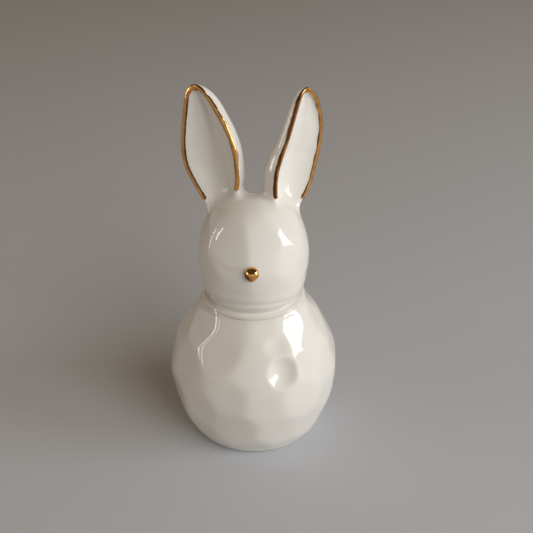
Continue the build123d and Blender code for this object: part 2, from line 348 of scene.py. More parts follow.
def as_piece(bm, name, node, materials, pools_and_shade=None, face_materials=None):
    """Finish a bmesh in millimetres as a smooth piece in metres that stands for a CAD node.

    For each vertex, the amounts given say how far the finish gathers there and how much painted shade it
    takes (painted dark reflection on the ear gold); face_materials says which material each face has.
    """
    for face in bm.faces:
        face.smooth = True
    if face_materials is not None:
        bm.faces.ensure_lookup_table()
        for face, index in zip(bm.faces, face_materials):
            face.material_index = int(index)
    if pools_and_shade is not None:
        layer = bm.verts.layers.float.get("pool_and_shade") or bm.verts.layers.float.new("pool_and_shade")
        for v, pooled_and_shaded in zip(bm.verts, pools_and_shade):
            v[layer] = float(pooled_and_shaded)
    bmesh.ops.scale(bm, vec=(MM, MM, MM), verts=bm.verts)
    mesh = bpy.data.meshes.new(name)
    bm.to_mesh(mesh)
    bm.free()
    for material in materials:
        mesh.materials.append(material)
    piece = bpy.data.objects.new(name, mesh)
    bpy.context.collection.objects.link(piece)
    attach(piece, "root")
    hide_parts(node)


def exponential(values):
    """The exponential, with its argument kept within range."""
    return np.exp(np.clip(values, -EXPONENT_LIMIT, EXPONENT_LIMIT))


def press_in(points, normals, presses, softness, fading):
    """Press flats and dishes in: softness rounds the ridges between them, fading their outer edges."""
    total = np.zeros(len(points))
    for centre, radius, depth in presses:
        gap = np.sum((points - centre) ** 2, axis=1) / radius ** 2
        total += exponential(depth * (1 - gap) / softness)
    pressed = softness * np.log(total)
    return points - normals * (fading * np.log1p(exponential(pressed / fading)))[:, None]


def wave(points, size, seed):
    """A smooth uneven field, mostly from -1 to 1, with waves of about the given size."""
    random = np.random.default_rng(seed)
    field = np.zeros(len(points))
    for _ in range(9):
        direction = random.normal(size=3)
        direction *= 2 * pi / size / np.linalg.norm(direction) * random.uniform(0.7, 1.3)
        field += np.sin(points @ direction + random.uniform(0, 2 * pi))
    return field / 4


# ---- the body ----------------------------------------------------------------------------

def body_presses(sizes):
    """Centres, radii and depths of the body's presses: those of the front, then rows over the rest."""
    curve = body_outline(sizes, 400)
    random = np.random.default_rng(11)

    def on_body(turn, height):
        reach = np.interp(height, curve[:, 1], curve[:, 0])
        return np.array([reach * sin(turn), -reach * cos(turn), height]), reach

    presses = []
    for turn, height, radius, depth in BODY_PRESSES:
        presses.append((on_body(radians(turn), height)[0], radius, depth))
    spacing = sizes.flat_spacing / MM
    run = run_along(curve)
    rows = int(run[-1] / (spacing * 0.88))
    for row in range(rows):
        height = np.interp((row + 0.5) / rows * run[-1], run, curve[:, 1])
        reach = on_body(0.0, height)[1]
        flats = int(2 * pi * reach / spacing)
        for flat in range(flats):
            turn = 2 * pi * (flat + row / 2 + random.uniform(-0.14, 0.14)) / flats
            here = on_body(turn, height + random.uniform(-1.2, 1.2))[0]
            taken = min(np.linalg.norm(here - there[0]) for there in presses[:len(BODY_PRESSES)])
            if taken > spacing * 0.72:
                radius = sizes.flat_radius / MM * random.uniform(0.85, 1.12)
                depth = sizes.flat_depth / MM * random.uniform(0.7, 1.25)
                presses.append((here, radius, depth))
    return presses


def body_profile(sizes):
    """The plain body's outline, and the closed profile of its skin, underside and inner wall."""
    outline = [tuple(p) for p in body_outline(sizes, 240)]
    wall, recess, hole = sizes.wall / MM, sizes.foot_recess / MM, sizes.pour_hole / MM
    foot = outline[0][0]
    ring = foot - sizes.foot_ring / MM
    floor = recess + wall
    skin = [(r, z) for r, z in outline if 1.0 < z < BODY_TOP - 1.2]
    edge = skin[-1][0]
    outer = [(foot - 0.9, 0.0)] + arc((foot - 0.6, 0.9), 0.9, -75, -20, 7) + skin
    outer += [(edge - 0.45, BODY_TOP - 0.55), (edge - 1.0, BODY_TOP - 0.22), (edge - 2.2, SKIN_TOP)]
    inner = [(max(r - wall, BORE_RADIUS), z) for r, z in outline if z > floor + 1.5][::-1]
    hidden = [(edge - 3.0, SKIN_TOP), (inner[0][0], BODY_TOP - 0.6)] + inner
    hidden += [(inner[-1][0] - 1.2, floor + 0.2), (inner[-1][0] - 3.0, floor), (hole + 0.6, floor)]
    hidden += arc((hole + 0.6, floor - 0.6), 0.6, 90, 180, 5)
    hidden += arc((hole + 0.5, recess + 0.5), 0.5, 180, 270, 5)
    hidden += [(ring - 0.8, recess)] + arc((ring - 0.8, recess - 0.8), 0.8, 90, 0, 6)
    hidden += arc((ring + 0.5, 0.5), 0.5, 180, 270, 5)
    profile = [*resample(outer, BODY_SPACING), *resample(hidden, BODY_WALL_SPACING)]
    return outline, profile


class RABBIT_OT_body(bpy.types.Operator):
    """Turn the hollow body, then press its flats and dishes"""
    bl_idname = "rabbit.body"
    bl_label = "Pressed body"

    def execute(self, context):
        sizes = context.scene.rabbit_body
        outline, profile = body_profile(sizes)
        bm = spin_profile(profile, BODY_STEPS, closed=True)
        points, normals = points_of(bm)
        height = points[:, 2]
        reach = np.hypot(points[:, 0], points[:, 1])
        skin = np.interp(height, [z for r, z in outline], [r for r, z in outline])
        outside = (reach > skin - 1.3) & (height > SKIN_FOOT) & (height < SKIN_TOP)
        easing = np.clip((height - SKIN_FOOT) / 3.0, 0, 1) * np.clip((SKIN_TOP - height) / 3.5, 0, 1)
        # The ridges are softer low down, where the glaze has run thick
        lower = ease(np.clip((44.0 - height) / 12.0, 0, 1))
        softness = sizes.ridge_softness / MM * (1 + 0.9 * lower)
        pressed = press_in(points, normals, body_presses(sizes), softness, BODY_FADING)
        pressed += normals * (0.16 * wave(points, 21.0, 3))[:, None]
        share = (easing * outside)[:, None]
        points = points * (1 - share) + pressed * share
        move_to(bm, points)
        # Painted shade in the top few millimetres of the body, under the collar, where the glaze also gathers
        crease = np.clip((points[:, 2] - BODY_TOP + 5.0) / 3.5, 0, 1) ** 2
        middles = [face.calc_center_median() for face in bm.faces]
        foot = outline[0][0]
        bare = [middle.z < 0.32 and middle.length < foot + 2 for middle in middles]
        as_piece(
            bm, "glazed_body", "body_shell",
            [glaze_material(context), clay_material(context)], pools_and_shade=crease, face_materials=bare,
        )
        return {"FINISHED"}


def head_outline(inset, lowest, count):
    """Reach and height of the head's outline, or of one inside it, from the neck to the crown."""
    radius, half = HEAD_RADIUS - inset, HEAD_HALF_HEIGHT - inset
    start = -np.arcsin(((HEAD_CENTRE - lowest) / half) ** (1 / HEAD_FULLNESS))
    turns = np.linspace(start, pi / 2, count)
    reach = radius * np.clip(np.cos(turns), 0, 1) ** HEAD_FULLNESS
    rise = half * np.sign(turns) * np.abs(np.sin(turns)) ** HEAD_FULLNESS
    line = np.stack([reach, HEAD_CENTRE + rise], axis=1)
    line[-1, 0] = 0.0
    return line


def neck_creases(points):
    """How far each point looks forward, 0 to 1, and the heights of the upper and the lower crease."""
    reach = np.hypot(points[:, 0], points[:, 1])
    facing = np.clip(-points[:, 1] / np.maximum(reach, 1e-6), 0, 1)
    return facing, BODY_TOP + 0.2 + 4.0 * facing ** 1.3, BODY_TOP - 1.7 * facing


def neck_relief(context, points):
    """How far the band under the chin stands out of the head's own outline at each point."""
    proud = context.scene.rabbit_head.chin_band / MM
    facing, crease, foot = neck_creases(points)
    below = crease - points[:, 2]
    band = proud * ease(np.clip((below + 0.7) / 2.2, 0, 1)) * (0.25 + 0.75 * facing)
    band += 0.4 * proud * np.clip(below / np.maximum(crease - foot, 0.5), 0, 1.2) * facing
    groove = 0.15 * hump(below + 0.3, 0.9)
    under = 0.14 * hump(points[:, 2] - foot + 0.1, 0.6)
    return band - groove - under + 0.05 * wave(points, 14.0, 8)


def neck_pool_and_shade(points):
    """Painted shade in the creases above and below the band under the chin, where the glaze also gathers."""
    _, crease, foot = neck_creases(points)
    return np.maximum(0.45 * hump(points[:, 2] - crease, 0.8), hump(points[:, 2] - foot, 0.7))


class RABBIT_OT_collar(bpy.types.Operator):
    """Turn the collar, with painted shade and gathered glaze in the creases above and below it"""
    bl_idname = "rabbit.collar"
    bl_label = "Neck collar"

    def execute(self, context):
        sizes = context.scene.rabbit_head
        neck = sizes.neck_radius / MM
        skirt = [(neck + 0.30, BODY_TOP - 2.2), (neck + 0.66, BODY_TOP - 1.75), (neck + 0.34, BODY_TOP - 0.9)]
        below = np.concatenate([skirt, head_outline(0.0, BODY_TOP, 700)])
        below = below[below[:, 1] < COLLAR_TOP + 0.3]
        outer = [tuple(p) for p in resample(below, COLLAR_SPACING)]
        top = outer[-1][0]
        bore = top - sizes.wall / MM
        hidden = [
            (top - 0.5, COLLAR_TOP + 0.1), (bore + 0.4, COLLAR_TOP), (bore, COLLAR_TOP - 0.4),
            (bore, BODY_TOP), (bore + 0.4, BODY_TOP - 0.6), (bore + 1.5, BODY_TOP - 1.2),
        ]
        bm = spin_profile(outer + hidden, BODY_STEPS, closed=True)
        points, _ = points_of(bm)
        reach = np.hypot(points[:, 0], points[:, 1])
        outside = np.clip((reach - np.interp(points[:, 2], below[:, 1], below[:, 0]) + 0.4) / 0.3, 0, 1)
        away = points * [1, 1, 0] / reach[:, None]
        # The collar's top edge tucks in under the head
        tuck = 0.06 * np.clip((points[:, 2] - COLLAR_TOP + 0.05) / 0.2, 0, 1)
        points += away * (outside * (neck_relief(context, points) - tuck))[:, None]
        move_to(bm, points)
        as_piece(
            bm, "glazed_collar", "neck_collar", [glaze_material(context)],
            pools_and_shade=neck_pool_and_shade(points),
        )
        return {"FINISHED"}


# ---- the head and the ears ---------------------------------------------------------------

def ball_size(reach, rise):
    """Size of the head's own ball through a point, as a share of the head: 1 on its surface."""
    wide = (reach / HEAD_RADIUS) ** HEAD_POWER
    tall = (np.abs(rise) / HEAD_HALF_HEIGHT) ** HEAD_POWER
    return (wide + tall) ** (1 / HEAD_POWER)


def head_presses():
    """Centres, radii and depths of the flats on the head."""
    presses = []
    for turn, up, radius, depth in HEAD_PRESSES:
        t, u = radians(turn), radians(up)
        out = np.array([sin(t) * cos(u), -cos(t) * cos(u), sin(u)])
        presses.append((HEAD_MIDDLE + out / ball_size(cos(u), sin(u)), radius, depth))
    return presses


def head_form(context, points):
    """The pressed head straight out from its centre towards each point, its normals, the plain ball."""
    away = points - HEAD_MIDDLE
    reach = np.maximum(np.hypot(away[:, 0], away[:, 1]), 1e-9)
    size = np.maximum(ball_size(reach, away[:, 2]), 1e-9)
    ball = HEAD_MIDDLE + away / size[:, None]
    sideways = (reach / HEAD_RADIUS / size) ** (HEAD_POWER - 1) / HEAD_RADIUS / reach
    upwards = (np.abs(away[:, 2]) / HEAD_HALF_HEIGHT / size) ** (HEAD_POWER - 1) / HEAD_HALF_HEIGHT
    slope = np.stack([away[:, 0] * sideways, away[:, 1] * sideways, np.sign(away[:, 2]) * upwards], axis=1)
    normal = slope / np.linalg.norm(slope, axis=1)[:, None]
    softness = context.scene.rabbit_head.ridge_softness / MM
    pressed = press_in(ball, normal, head_presses(), softness, HEAD_FADING)
    # No flats on the lowest few millimetres, where the head meets the collar
    clear = np.clip((ball[:, 2] - COLLAR_TOP - 0.5) / 6.0, 0, 1)[:, None]
    return ball * (1 - clear) + pressed * clear, normal, ball


def head_gap(context, points):
    """How far each point lies outside the head."""
    skin, normal, _ = head_form(context, points)
    return np.sum((points - skin) * normal, axis=1)


def ear_axes(side):
    """Root and directions of one ear: across its face, to its back and along it."""
    out, sunk, lean, turn = EAR_STANDS[side]
    along = np.array([side * tan(radians(lean)), tan(radians(EAR_LEAN_BACK)), 1.0])
    along /= np.linalg.norm(along)
    front = np.array([side * sin(radians(turn)), -cos(radians(turn)), 0.0])
    across = np.cross(along, front)
    across /= np.linalg.norm(across)
    back = np.cross(along, across)
    level = np.arccos((out / HEAD_RADIUS) ** (1 / HEAD_FULLNESS))
    height = HEAD_CENTRE + HEAD_HALF_HEIGHT * sin(level) ** HEAD_FULLNESS - sunk
    return np.array([side * out, EAR_SHIFT_BACK, height]), across, back, along


def ear_rims(sizes, side):
    """The right and the left rim of an ear, each from below the root up to the tip."""
    half, tall = sizes.half_width / MM, sizes.length / MM
    rim = [(half * w, tall * s) for w, s in EAR_RIMS[side]]
    # Inside the head the ear runs on, a little narrower
    low = -sizes.root_depth / MM
    rim = [(0.92 * rim[0][0], low)] + rim + [(0.92 * rim[-1][0], low)]
    curve = smooth_curve(rim, np.linspace(0, 1, 2401))
    top = int(np.argmax(curve[:, 1]))
    return curve[:top + 1], curve[top:][::-1]


def ear_skin(sizes, side, rows, turns):
    """Points of an ear's skin: rows from 0 (root) to 1 (tip), turns from 0 to 1 round it."""
    root, across, back, along = ear_axes(side)
    right, left = ear_rims(sizes, side)
    half = sizes.half_width / MM
    low, tall = right[0, 1], right[-1, 1]
    # v is the place along the ear, w half its width there; the rows lie closer towards the tip
    v = tall - (tall - low) * np.clip(1 - rows, 0, 1) ** 1.6
    right_rim = np.interp(v, right[:, 1], right[:, 0])
    left_rim = np.interp(v, left[:, 1], left[:, 0])
    w = np.maximum((right_rim - left_rim) / 2, 0.0)
    stations, shares = np.transpose(EAR_THICKNESS[side])
    thick = sizes.thickness / MM * np.interp(v / sizes.length * MM, stations, shares)
    # The scoop is shallower where the ear is narrow, and low down, where it runs out into the head
    scoop = sizes.scoop / MM * np.clip((w - 1.2) / (half - 1.2), 0, 1.1) ** 0.7
    scoop = np.minimum(scoop, 0.72 * thick) * (1 - 0.35 * np.clip(1 - v / 9.0, 0, 1))
    # land is the width of the rim beside the scoop, vee how far the scoop has turned into a V
    land = np.minimum(1.5, 0.5 * w)
    vee = np.clip((v - 12.0) / 18.0, 0, 1)
    zero = np.zeros_like(w)
    # Control points across one cut, from the middle of the scoop round the rim to the back
    half_cut = [
        (zero, scoop * (1.06 + 0.10 * vee)),
        (0.30 * (w - land), scoop * (0.98 - 0.14 * vee)),
        (0.62 * (w - land), scoop * (0.68 - 0.10 * vee)),
        (w - land - 0.11 * w, scoop * 0.26),
        (w - land * 0.90, zero - 0.06),
        (w - land * 0.20, zero - 0.20),
        (w + 0.10, np.minimum(0.8, 0.2 * thick)),
        (w + 0.10, 0.42 * thick),
        (w + 0.02, 0.74 * thick),
        (0.90 * w, 1.0 * thick),
        (0.58 * w, 1.06 * thick),
        (0.24 * w, 1.07 * thick),
    ]
    cut = np.array(half_cut + [(zero, 1.07 * thick)] + [(-x, y) for x, y in reversed(half_cut[1:])])
    # A closed smooth curve through the cut's control points, read at each turn
    at = (turns % 1.0) * len(cut)
    k = np.floor(at).astype(int)
    f = at - k
    weights = (
        (1 - f) ** 3 / 6,
        (3 * f ** 3 - 6 * f ** 2 + 4) / 6,
        (-3 * f ** 3 + 3 * f ** 2 + 3 * f + 1) / 6,
        f ** 3 / 6,
    )
    who = np.arange(len(rows))
    x, y = sum(weight * cut[(k + j - 1) % len(cut), :, who].T for j, weight in enumerate(weights))
    # The thickness closes at the tip
    tip = np.clip((v - (tall - 12.0)) / 12.0, 0, 1)
    close = np.sqrt(np.clip(1 - tip ** 2.2, 0, 1))
    middle = 0.22 * thick
    y = middle + (y - middle) * close
    x = x + (right_rim + left_rim) / 2
    skin = root + across * x[:, None] + back * y[:, None] + along * v[:, None]
    return np.column_stack([skin, zero])


def gap_to(tree, points, within):
    """Signed distance from each point to a closed skin, positive outside, and where it is near."""
    gaps = np.full(len(points), within)
    for i, point in enumerate(points):
        spot, normal, _, distance = tree.find_nearest(Vector(point), within)
        if spot is not None:
            outside = (Vector(point) - spot).dot(normal) >= 0
            gaps[i] = distance if outside else -distance
    return gaps


def blend_gap(a, b, size):
    """Two distances joined with a soft fillet of the given size."""
    h = np.maximum(size - np.abs(a - b), 0) / size
    return np.minimum(a, b) - h * h * size / 4


def bare_ear(context, side):
    """One ear before it is blended into the head."""
    sizes = context.scene.rabbit_ears
    return grid_tube(EAR_ROWS, EAR_TURNS, lambda rows, turns: ear_skin(sizes, side, rows, turns))


def ear_tree(context, side):
    """A search tree over one bare ear."""
    ear = bare_ear(context, side)
    tree = BVHTree.FromBMesh(ear)
    ear.free()
    return tree


class RABBIT_OT_head(bpy.types.Operator):
    """Turn the hollow head, press it, and raise the clay where the ears grow out"""
    bl_idname = "rabbit.head"
    bl_label = "Head"

    def execute(self, context):
        wall = context.scene.rabbit_head.wall / MM
        fillet = context.scene.rabbit_ears.fillet / MM
        inner = resample(head_outline(wall, COLLAR_TOP, 400)[::-1], HEAD_WALL_SPACING)
        outer = resample(head_outline(0.0, COLLAR_TOP - 0.25, 800), HEAD_SPACING)
        inner[0, 0] = outer[-1, 0] = 0.0
        shell = spin_profile([*inner, *outer], HEAD_STEPS, closed=False)
        points, _ = points_of(shell)
        own, direction, ball = head_form(context, points)
        # Only points close under the plain ball are skin: the inner wall stays as it is
        distance = np.linalg.norm(points - HEAD_MIDDLE, axis=1)
        outside = distance > np.linalg.norm(ball - HEAD_MIDDLE, axis=1) - 1.5
        skin = np.where(outside[:, None], own, points)
        low = outside & (points[:, 2] < COLLAR_TOP + BAND_REACH)
        sideways = skin[low] * [1, 1, 0] / np.hypot(skin[low, 0], skin[low, 1])[:, None]
        skin[low] += sideways * neck_relief(context, skin[low])[:, None]
        for side, _ in EARS:
            tree = ear_tree(context, side)
            root = ear_axes(side)[0]
            spot = np.where(outside & (np.linalg.norm(skin - root, axis=1) < EAR_REACH))[0]
            spot = spot[gap_to(tree, skin[spot], fillet * 1.6) < fillet * 1.5]
            base = skin[spot]
            rise = np.zeros(len(spot))
            for _ in range(FILLET_PASSES):
                here = base + direction[spot] * rise[:, None]
                off = blend_gap(rise, gap_to(tree, here, fillet * 2), fillet)
                rise = np.clip(rise - off, 0, fillet * 0.36)
            skin[spot] = base + direction[spot] * rise[:, None]
        move_to(shell, skin)
        # Painted shade and gathered glaze in the creases by the band under the chin
        pool_and_shade = neck_pool_and_shade(skin) * outside
        as_piece(shell, "glazed_head", "head_shell", [glaze_material(context)], pools_and_shade=pool_and_shade)
        return {"FINISHED"}


class RABBIT_OT_ears(bpy.types.Operator):
    """Model both scooped ears and let their roots flow into the head"""
    bl_idname = "rabbit.ears"
    bl_label = "Ears"

    def execute(self, context):
        fillet = context.scene.rabbit_ears.fillet / MM
        for side, name in EARS:
            bm = bare_ear(context, side)
            points, normals = points_of(bm)
            gap = head_gap(context, points)
            spot = np.where((gap < fillet) & (gap > -2.5))[0]
            swell = np.zeros(len(spot))
            for _ in range(FILLET_PASSES):
                here = points[spot] + normals[spot] * swell[:, None]
                off = blend_gap(head_gap(context, here), swell, fillet)
                swell = np.clip(swell - off, 0, fillet * 0.5)
            # Inside the head the ear draws back, so that only one skin shows
            sunk = np.clip((fillet * 0.2 - gap[spot]) / 1.5, 0, 1)
            shift = 0.05 * wave(points, 9.0, 5 + side)
            shift[spot] += swell - 0.6 * sunk
            points += normals * shift[:, None]
            move_to(bm, points)
            # Painted shade and gathered glaze where the ear's root meets the head
            pool_and_shade = np.clip(1 - head_gap(context, points) / 2.0, 0, 1) * 0.35
            as_piece(bm, "glazed_" + name, name, [glaze_material(context)], pools_and_shade=pool_and_shade)
        return {"FINISHED"}


class RABBIT_OT_nose(bpy.types.Operator):
    """Model the nose bead and its coat of gold"""
    bl_idname = "rabbit.nose"
    bl_label = "Nose"

    def execute(self, context):
        radius = context.scene.rabbit_head.nose_radius / MM
        for name, node, slot, coat, finish in (
            ("glazed_nose", "nose_bead", "ivory_glaze", 0.0, glaze_material),
            ("gold_nose", "nose_gilding", "gold_lustre", NOSE_COAT, gold_material),
        ):
            bm = bmesh.new()
            bmesh.ops.create_uvsphere(bm, u_segments=48, v_segments=32, radius=radius + coat)
            points, _ = points_of(bm)
            # Narrower and longer downwards, a little wider on the rabbit's left
            down = np.clip(-points[:, 2] / radius, 0, 1)
            points[:, 0] *= (1 - 0.34 * down ** 1.5) * np.where(points[:, 0] > 0, 1.08, 1.0)
            points[:, 2] *= np.where(points[:, 2] < 0, 1.16, 1.0)
            points[:, 1] *= 0.95
            points += NOSE_PLACE
            points += (0.11 * wave(points, 3.0, 4))[:, None] * np.array([1.0, 0.4, 1.0])
            move_to(bm, points)
            bmesh.ops.recalc_face_normals(bm, faces=bm.faces)
            # The painted shade lies low and on the rabbit's right, away from the window lamp, and only on the
            # gold
            off = points - points.mean(axis=0)
            shaded = -0.8 * off[:, 0] - 0.7 * off[:, 2] + 0.5 * wave(points, 2.4, 9)
            stain_and_shade = 0.9 * np.clip((shaded / radius - 0.1) / 0.5, 0, 1) * (coat > 0)
            as_piece(bm, name, node, [finish(context)], pools_and_shade=stain_and_shade)
        return {"FINISHED"}


# ---- the gold ----------------------------------------------------------------------------

def gold_path(sizes, side):
    """The middle of an ear's line of gold from end to end, and the way in from the rim at each point."""
    right, left = ear_rims(sizes, side)
    right_start, left_start = GOLD_STARTS[side]
    right, left = right[right[:, 1] > right_start], left[left[:, 1] > left_start]
    rim = resample(np.concatenate([right, left[::-1][1:]]), GOLD_SPACING)
    run = np.gradient(rim, axis=0)
    run /= np.linalg.norm(run, axis=1)[:, None]
    inward = np.stack([-run[:, 1], run[:, 0]], axis=1)
    return rim + inward * GOLD_INSET, inward


def gold_line(context, side):
    """The brushed line of gold on one ear's rim."""
    sizes = context.scene.rabbit_ears
    wide, thick = sizes.gold_width / MM / 2, sizes.gold_thickness / MM
    tree = ear_tree(context, side)
    root, across, back, along = ear_axes(side)
    middle, inward = gold_path(sizes, side)
    count = len(middle)
    travelled = np.linspace(0, 1, count)
    ends = np.minimum(travelled, 1 - travelled) * count * GOLD_SPACING
    close = np.sqrt(np.clip(1 - (1 - np.clip(ends / 0.9, 0, 1)) ** 2, 0, 1))
    tipness = hump(travelled - 0.5, 0.05)
    worn = 0.55 * hump(travelled - GOLD_WORN[side], 0.012)
    place = np.column_stack([np.zeros(count), middle])
    wobble_out = 0.22 * wave(place, 7.0, 21 + side) + 0.08 * wave(place, 2.2, 31 + side)
    wobble_in = 0.22 * wave(place, 6.0, 41 + side) + 0.08 * wave(place, 1.9, 51 + side)

    def place_gold(lengths, turns):
        i = np.clip(np.round(lengths * (count - 1)).astype(int), 0, count - 1)
        outward, up = np.cos(2 * pi * turns), np.sin(2 * pi * turns)
        wobble = np.where(outward > 0, wobble_out[i], wobble_in[i])
        half = (wide + wobble + 0.45 * tipness[i] - worn[i] * (outward > 0)) * close[i]
        u = outward * half
        x, v = (middle[i] - inward[i] * u[:, None]).T
        y = 1.1 * np.maximum(u - 0.45, 0) - 0.5
        guide = root + across * x[:, None] + back * y[:, None] + along * v[:, None]
        height = np.where(up >= 0, thick * np.abs(up) ** 0.85 * np.sqrt(close[i]), -GOLD_SUNK * np.abs(up))
        skin = np.empty((len(i), 3))
        for j, q in enumerate(guide):
            spot, normal, _, _ = tree.find_nearest(Vector(q))
            skin[j] = np.array(spot) + np.array(normal) * height[j]
        # The brown edge of the lustre, darkened further as painted dark reflection: on the right ear along
        # the inner edge, on the left ear along both edges of the first half and along the outer edge of the
        # second
        dark = -outward
        if side > 0:
            dark = np.where(lengths > 0.5, outward, np.abs(outward) - 0.45)
        stain_and_shade = np.clip((dark - 0.12 + 0.5 * wobble_in[i]) / 0.35, 0, 1) * (1 - 0.85 * tipness[i])
        return np.column_stack([skin, stain_and_shade])

    bm = grid_tube(count, GOLD_TURNS, place_gold)
    bmesh.ops.holes_fill(bm, edges=[e for e in bm.edges if e.is_boundary], sides=0)
    bmesh.ops.recalc_face_normals(bm, faces=bm.faces)
    return bm


class RABBIT_OT_gilding(bpy.types.Operator):
    """Brush a line of gold along the rim of each ear"""
    bl_idname = "rabbit.gilding"
    bl_label = "Gold on the ears"

    def execute(self, context):
        for side, name in EARS:
            as_piece(
                gold_line(context, side), "gold_" + name, name + "_gilding",
                [gold_material(context)],
            )
        return {"FINISHED"}


# ---- finishes ----------------------------------------------------------------------------

def new_material(name):
    """An empty node material, its node tree and its shader."""
    material = bpy.data.materials.new(name)
    material.use_nodes = True
    tree = material.node_tree
    return material, tree, tree.nodes["Principled BSDF"]


def set_inputs(node, values):
    """Give inputs of a node their values."""
    for name, value in values.items():
        node.inputs[name].default_value = value


def noise(tree, scale, detail, roughness=0.5):
    """A noise pattern that stays on the piece."""
    place = tree.nodes.new("ShaderNodeTexCoord")
    node = tree.nodes.new("ShaderNodeTexNoise")
    set_inputs(node, {"Scale": scale, "Detail": detail, "Roughness": roughness})
    tree.links.new(place.outputs["Object"], node.inputs["Vector"])
    return node.outputs["Fac"]


def tinted(tree, pattern, colour, share):
    """A colour that goes down to a share of itself where the pattern is strong."""
    tint = tree.nodes.new("ShaderNodeMixRGB")
    set_inputs(tint, {"Color1": (*colour, 1), "Color2": (*[c * share for c in colour], 1)})
    tree.links.new(pattern, tint.inputs["Fac"])
    return tint.outputs["Color"]


def pooled_and_shaded(tree, usual, gathered, strength):
    """The usual colour, turned towards another one where the finish gathers, and where painted shade and
    painted dark reflection lie.
    """
    pool_and_shade = tree.nodes.new("ShaderNodeAttribute")
    pool_and_shade.attribute_name = "pool_and_shade"
    amount = tree.nodes.new("ShaderNodeMath")
    amount.operation = "MULTIPLY"
    amount.inputs[1].default_value = strength
    mix = tree.nodes.new("ShaderNodeMixRGB")
    mix.inputs["Color2"].default_value = (*gathered, 1)
    tree.links.new(pool_and_shade.outputs["Fac"], amount.inputs[0])
    tree.links.new(amount.outputs["Value"], mix.inputs["Fac"])
    tree.links.new(usual, mix.inputs["Color1"])
    return mix.outputs["Color"]


def ramp_between(nodes, *stops):
    """A colour ramp between two stops, each a position and a colour."""
    ramp = nodes.new("ShaderNodeValToRGB")
    for element, (position, colour) in zip(ramp.color_ramp.elements, stops):
        element.position = position
        element.color = (*colour, 1)
    return ramp


def roughen(tree, shader, pattern, strength, depth):
    """Give the shader a fine relief that follows the pattern."""
    bump = tree.nodes.new("ShaderNodeBump")
    set_inputs(bump, {"Strength": strength, "Distance": depth})
    tree.links.new(pattern, bump.inputs["Height"])
    tree.links.new(bump.outputs["Normal"], shader.inputs["Normal"])


def glaze_material(context):
    """Ivory glaze: glossy, gently mottled, darker and warmer in the creases, as gathered glaze and painted
    shade.
    """
    found = bpy.data.materials.get("rabbit_glaze")
    if found:
        return found
    finishes = context.scene.rabbit_finishes
    material, tree, shader = new_material("rabbit_glaze")
    mottled = tinted(tree, noise(tree, 55.0, 3.0), finishes.glaze, 0.93)
    tree.links.new(pooled_and_shaded(tree, mottled, finishes.glaze_pool_and_shade, 0.6), shader.inputs["Base Color"])
    roughen(tree, shader, noise(tree, 130.0, 1.0), 0.12, 0.0003)
    set_inputs(shader, {
        "Roughness": 0.035, "IOR": 1.5, "Subsurface Weight": 0.12, "Subsurface Scale": 0.002,
        "Subsurface Radius": (1.0, 0.75, 0.5),
    })
    return material


def clay_material(context):
    """The bare foot, matte and slightly sandy."""
    material, tree, shader = new_material("bare_clay")
    sand = noise(tree, 900.0, 4.0, 0.7)
    tree.links.new(tinted(tree, sand, context.scene.rabbit_finishes.clay, 0.8), shader.inputs["Base Color"])
    roughen(tree, shader, sand, 0.5, 0.0002)
    shader.inputs["Roughness"].default_value = 0.85
    return material


def gold_material(context):
    """Fired gold lustre: bright, a little streaky from the brush, brown where it gathers, with painted dark
    reflection on the ears and painted shade on the nose.
    """
    found = bpy.data.materials.get("rabbit_gold")
    if found:
        return found
    finishes = context.scene.rabbit_finishes
    material, tree, shader = new_material("rabbit_gold")
    streak = noise(tree, 420.0, 3.0, 0.6)
    ramp = ramp_between(tree.nodes, (0.25, [c * 0.62 for c in finishes.gold]), (0.62, finishes.gold))
    tree.links.new(streak, ramp.inputs["Fac"])
    stained_and_shaded = pooled_and_shaded(tree, ramp.outputs["Color"], finishes.gold_edge_and_dark_reflection, 1.0)
    tree.links.new(stained_and_shaded, shader.inputs["Base Color"])
    shader.inputs["Metallic"].default_value = 1.0
    rough = tree.nodes.new("ShaderNodeMapRange")
    set_inputs(rough, {"To Min": 0.08, "To Max": 0.22})
    tree.links.new(streak, rough.inputs["Value"])
    tree.links.new(rough.outputs["Result"], shader.inputs["Roughness"])
    roughen(tree, shader, streak, 0.3, 0.0001)
    return material


def floor_material(context):
    """The plain pale floor, matte and faintly uneven."""
    material, tree, shader = new_material("pale_floor")
    colour = tinted(tree, noise(tree, 3.0, 2.0), context.scene.rabbit_finishes.floor, 0.96)
    tree.links.new(colour, shader.inputs["Base Color"])
    set_inputs(shader, {"Roughness": 0.8, "Specular IOR Level": 0.15})
    return material


# ---- the studio --------------------------------------------------------------------------

